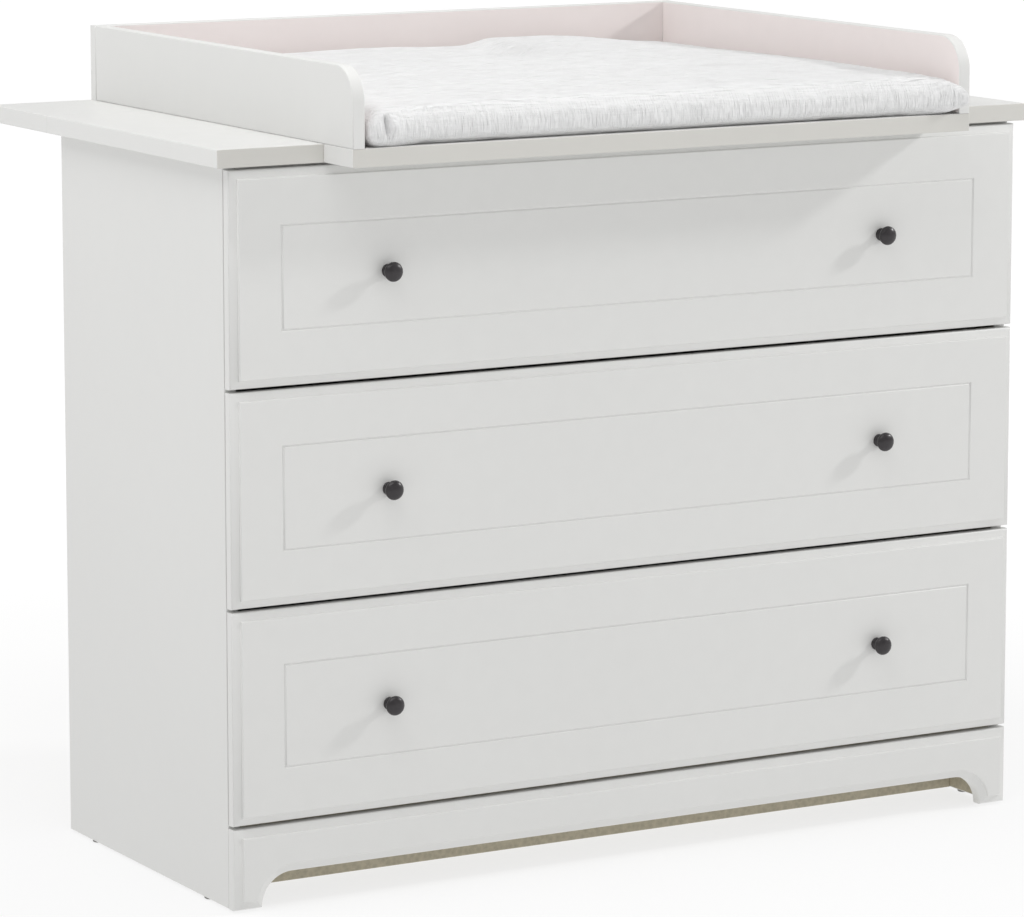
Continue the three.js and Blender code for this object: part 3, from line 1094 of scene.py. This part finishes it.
class CHANGINGTABLE_OT_changing_pad(bpy.types.Operator):
    """Make the pad: a crowned cushion whose cover is filled by a cloth simulation"""

    bl_idname = "changing_table.changing_pad"
    bl_label = "Changing pad"

    frames: bpy.props.IntProperty(name="Frames", description="Length of the simulation", default=20)

    def execute(self, context):
        pad = context.scene.changing_table_pad
        low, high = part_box("pad")
        piece = self.core(low, high, pad)
        self.fill(context.scene, piece, pad)
        apply_modifier(piece, "SUBSURF", levels=1, render_levels=1)
        self.relief(piece, low, high, pad)
        self.remember_sides(piece)
        take(piece)
        bpy.ops.object.shade_smooth()
        deliver(piece, "pad", [crinkled_muslin()], ["pad"])
        return {"FINISHED"}

    def core(self, low, high, pad):
        """The shape before filling: soft edges, a crown that stays full behind and waisted sides."""
        overhang, slack = 0.004, 0.001
        start = Vector((low.x + slack, low.y - overhang, low.z))
        end = Vector((high.x - slack, high.y - slack, low.z + pad.edge_height))
        piece = block("muslin_pad", start, end)
        apply_modifier(piece, "REMESH", mode="VOXEL", voxel_size=pad.voxel)
        points = self.rounded(vectors(piece.data), start, end, pad)
        u = (points[:, 0] - (start.x + end.x) / 2) / ((end.x - start.x) / 2)
        v = (points[:, 1] - (start.y + end.y) / 2) / ((end.y - start.y) / 2)
        side_fall, front_fall, rear_fall, rear_share = 3, 2.4, 6, 0.25
        across = 1 - np.abs(u).clip(0, 1) ** side_fall
        in_front = 1 - np.abs(v).clip(0, 1) ** front_fall
        behind = 1 - rear_share * np.abs(v).clip(0, 1) ** rear_fall
        along = np.where(v < 0, in_front, behind)
        share = ((points[:, 2] - start.z) / (end.z - start.z)).clip(0, 1)
        points[:, 2] += pad.crown * across * along * share
        waist, near_edge = 0.003, 8
        points[:, 0] -= waist * (1 - v**2).clip(0, 1) * np.sign(u) * np.abs(u) ** near_edge
        points[:, 1] -= waist * (1 - u**2).clip(0, 1) * np.sign(v) * np.abs(v) ** near_edge
        move_points(piece.data, points)
        return piece

    def rounded(self, points, start, end, pad):
        """Rolls points near a box's edges onto its rounded edges. Upright edges stay squarer."""
        radius = pad.edge_radius
        inner_low = np.array((start.x + radius, start.y + radius, start.z + pad.lower_radius))
        inner_high = np.array((end.x - radius, end.y - radius, end.z - radius))
        inner = points.clip(inner_low, inner_high)
        out = points - inner
        height = np.where(out[:, 2] < 0, out[:, 2] * radius / pad.lower_radius, out[:, 2])
        plan = np.sqrt(out[:, 0] ** 4 + out[:, 1] ** 4)
        reach = np.sqrt(plan + height**2)
        share = np.where(reach > 1e-6, radius / np.maximum(reach, 1e-6), 0)
        return inner + out * np.minimum(share, 1)[:, None]

    def fill(self, scene, piece, pad):
        """Fills the cover with air as cloth, then limits how far each point went."""
        rest = vectors(piece.data)
        take(piece)
        modifier = piece.modifiers.new("Filling", "CLOTH")
        cloth = modifier.settings
        cloth.quality = 5
        cloth.mass = 0.25
        cloth.tension_stiffness = 12
        cloth.compression_stiffness = 12
        cloth.bending_stiffness = 0.3
        cloth.use_pressure = True
        cloth.uniform_pressure_force = pad.pressure
        cloth.shrink_min = -0.02
        cloth.effector_weights.gravity = 0
        modifier.collision_settings.use_collision = False
        modifier.point_cache.frame_start = 1
        modifier.point_cache.frame_end = self.frames
        for number in range(1, self.frames + 1):
            scene.frame_set(number)
        bpy.ops.object.modifier_apply(modifier=modifier.name)
        scene.frame_set(1)
        moved = vectors(piece.data) - rest
        length = np.linalg.norm(moved, axis=1, keepdims=True) + 1e-9
        limited = moved / length * pad.puff * np.tanh(length / pad.puff)
        move_points(piece.data, rest + limited)

    def relief(self, piece, low, high, pad):
        """Crinkles, soft hollows and the folds of the front corners, and a flat underside."""
        mesh = piece.data
        points = vectors(mesh)
        normal = vectors(mesh, "normal")
        upward = normal[:, 2].clip(0, 1)
        side = (1 - np.abs(normal[:, 2]) * 1.3).clip(0, 1)
        height = self.crinkles(points, upward, side, pad) + self.sag(points, low, high) * upward
        points = points + normal * height[:, None]
        points = self.corner_fold(points, low)
        points = self.corner_ear(points, low, high)
        points[:, 2] = np.maximum(points[:, 2], low.z)
        move_points(mesh, points)

    def crinkles(self, points, upward, side, pad):
        """Ripples along the top, upright tucks on the sides, and a slow roll of the whole top."""
        fine_ripples = crease_field(points, (16, 160, 60), 2)
        fine_tucks = crease_field(points, (12, 40, 110), 4)
        ripples = 0.55 * crease_field(points, (7, 110, 40), 1) + 0.45 * fine_ripples
        tucks = 0.6 * crease_field(points, (120, 40, 12), 3) + 0.4 * fine_tucks
        roll = rolling_field(points, (5, 9, 6), 5) + 0.5 * rolling_field(points, (9, 21, 9), 6)
        roll_height = 0.0016
        return pad.crinkle * (ripples * upward + tucks * side) + roll_height * roll * upward

    def sag(self, points, low, high):
        """The far half lies a little low, swells on its right, and has a hollow beside the swell.

        Places are shares of the pad's width from its left, and of its length from its front.
        """
        swell, drop, hollow_depth = 0.008, 0.0035, 0.012
        across = (points[:, 0] - low.x) / (high.x - low.x)
        along = (points[:, 1] - low.y) / (high.y - low.y)
        rise = eased((across - 0.595) / 0.06) * (1 - eased((across - 0.72) / 0.22))
        far = eased((along - 0.56) / 0.2)
        hollow = bell(across - 0.565, 0.075) * bell(along - 0.79, 0.13)
        return (swell * rise - drop) * far - hollow_depth * hollow

    def corner_fold(self, points, low):
        """Spare cloth at the front left corner: a short pleat with a rolled lip beside it."""
        pleat_depth, lip_height = 0.018, 0.005
        pleat_x = low.x + 0.027
        lean = 0.12 * (points[:, 2] - low.z - 0.02)
        tall = bell(points[:, 2] - low.z - 0.024, 0.0095)
        near_front = bell(points[:, 1] - low.y, 0.025)
        pleat = bell(points[:, 0] - pleat_x + lean, 0.003)
        lip = bell(points[:, 0] - pleat_x - 0.009 + lean, 0.006)
        points[:, 1] += (pleat_depth * pleat - lip_height * lip) * near_front * tall
        return points

    def corner_ear(self, points, low, high):
        """The front right corner, pinched to a soft point that hangs over the front edge."""
        reach, sideways, forwards, squeeze = 0.055, 0.014, 0.015, 0.2
        across = ((points[:, 0] - high.x) / reach + 1).clip(0, 1)
        ahead = ((low.y - points[:, 1]) / reach + 1).clip(0, 1)
        middle = low.z + 0.026
        pinch = across**2 * ahead**2
        points[:, 0] += sideways * pinch
        points[:, 1] -= forwards * pinch
        points[:, 2] += (middle - points[:, 2]) * squeeze * pinch
        return points

    def remember_sides(self, piece):
        """Stores how upright each point of the cover is, for the run of the finest crinkles."""
        mesh = piece.data
        side = np.clip((1 - np.abs(vectors(mesh, "normal")[:, 2])) * 1.6 - 0.2, 0, 1)
        layer = mesh.attributes.new("side_share", "FLOAT", "POINT")
        layer.data.foreach_set("value", side.astype(np.float32))


# ---- Stage --------------------------------------------------------------------------------------

KEY_LAMP_PLACE = Vector((4.5, -1.65, 3.15))
KEY_LAMP_SIZE = 0.5
OVERHEAD_LAMP_PLACE = Vector((-1.15, -0.3, 3.3))
OVERHEAD_LAMP_SIZE = 3.0
LAMP_AIM = Vector((0, 0, 0.5))
CAMERA_SHIFT = (0.0484, -0.0977)
FAR_CLIP = 200
FLOOR_SIZE = 120
FLOOR_MIDDLE = (0, 20, 0)


class CHANGINGTABLE_OT_studio(bpy.types.Operator):
    """Set up the pale floor, the soft lamps and the camera"""

    bl_idname = "changing_table.studio"
    bl_label = "Studio"

    def execute(self, context):
        studio = context.scene.changing_table_studio
        self.floor()
        self.surroundings(context.scene, studio.sky)
        self.lamp("key lamp", KEY_LAMP_PLACE, KEY_LAMP_SIZE, studio.key)
        self.lamp("overhead lamp", OVERHEAD_LAMP_PLACE, OVERHEAD_LAMP_SIZE, studio.overhead)
        self.camera(context.scene, studio)
        context.scene.view_settings.view_transform = "Standard"
        return {"FINISHED"}

    def floor(self):
        """A floor that shines a little, so that it stays white, and a little less round the table."""
        deselect_everything()
        bpy.ops.mesh.primitive_plane_add(size=FLOOR_SIZE, location=FLOOR_MIDDLE)
        floor = bpy.context.object
        floor.name = "studio_floor"
        bpy.ops.object.transform_apply(location=True, rotation=True, scale=True)
        finish = Finish("studio floor", 0.9)
        mottle = finish.noise(scale=1.5, detail=2)
        finish.colour(mottle, (0.19, 0.19, 0.19), (0.21, 0.21, 0.21))
        finish.set("Specular IOR Level", 0.1)
        finish.set("Emission Color", (1, 1, 1, 1))
        away = finish.nodes.new("ShaderNodeVectorMath")
        away.operation = "LENGTH"
        finish.links.new(finish.place, away.inputs[0])
        glow = finish.spread(away.outputs["Value"], 0.9, 2.8, 0.76, 0.89)
        finish.links.new(glow, finish.shader.inputs["Emission Strength"])
        floor.data.materials.append(finish.material)

    def surroundings(self, scene, strength):
        world = bpy.data.worlds.new("studio")
        world.use_nodes = True
        sky = world.node_tree.nodes["Background"]
        sky.inputs["Color"].default_value = (1, 1, 1, 1)
        sky.inputs["Strength"].default_value = strength
        scene.world = world

    def lamp(self, name, place, size, power):
        light = bpy.data.lights.new(name, "AREA")
        light.shape = "DISK"
        light.size = size
        light.energy = power
        lamp = bpy.data.objects.new(name, light)
        turn = (LAMP_AIM - place).to_track_quat("-Z", "Y").to_matrix().to_4x4()
        lamp.matrix_world = Matrix.Translation(place) @ turn
        bpy.context.scene.collection.objects.link(lamp)

    def camera(self, scene, studio):
        data = bpy.data.cameras.new("camera")
        data.lens = studio.lens
        data.shift_x, data.shift_y = CAMERA_SHIFT
        data.clip_end = FAR_CLIP
        camera = bpy.data.objects.new("camera", data)
        turn = Matrix.Rotation(-studio.camera_yaw, 4, "Z")
        tilt = Matrix.Rotation(math.pi / 2 - studio.camera_pitch, 4, "X")
        roll = Matrix.Rotation(studio.camera_roll, 4, "Z")
        camera.matrix_world = Matrix.Translation(studio.camera_place) @ turn @ tilt @ roll
        scene.collection.objects.link(camera)
        scene.camera = camera


# ---- Panel and registration ---------------------------------------------------------------------

SETTINGS = {
    "changing_table_colours": ChangingTableColours,
    "changing_table_boards": ChangingTableBoards,
    "changing_table_moulding": ChangingTableMoulding,
    "changing_table_tray": ChangingTableTray,
    "changing_table_pad": ChangingTablePad,
    "changing_table_studio": ChangingTableStudio,
}

STEPS = (
    CHANGINGTABLE_OT_studio,
    CHANGINGTABLE_OT_outer_boards,
    CHANGINGTABLE_OT_inner_boards,
    CHANGINGTABLE_OT_back_panel,
    CHANGINGTABLE_OT_drawer_fronts,
    CHANGINGTABLE_OT_apron,
    CHANGINGTABLE_OT_knobs,
    CHANGINGTABLE_OT_glides,
    CHANGINGTABLE_OT_runners,
    CHANGINGTABLE_OT_tray_walls,
    CHANGINGTABLE_OT_changing_pad,
)


class CHANGINGTABLE_PT_sidebar(bpy.types.Panel):
    """Lists the steps and the settings of the changing table"""

    bl_idname = "CHANGINGTABLE_PT_sidebar"
    bl_label = "Changing Table"
    bl_space_type = "VIEW_3D"
    bl_region_type = "UI"
    bl_category = "Changing Table"

    def draw(self, context):
        for name, group in SETTINGS.items():
            box = self.layout.box()
            box.label(text=group.__doc__)
            for setting in group.__annotations__:
                box.prop(getattr(context.scene, name), setting)
        for step in STEPS:
            self.layout.operator(step.bl_idname)


def register():
    for cls in (*SETTINGS.values(), *STEPS, CHANGINGTABLE_PT_sidebar):
        bpy.utils.register_class(cls)
    for name, group in SETTINGS.items():
        setattr(bpy.types.Scene, name, bpy.props.PointerProperty(type=group))


def unregister():
    for name in SETTINGS:
        delattr(bpy.types.Scene, name)
    for cls in reversed((*SETTINGS.values(), *STEPS, CHANGINGTABLE_PT_sidebar)):
        bpy.utils.unregister_class(cls)


def main():
    register()
    for step in STEPS:
        group, name = step.bl_idname.split(".")
        getattr(getattr(bpy.ops, group), name)()
    deselect_everything()


if __name__ == "__main__":
    main()
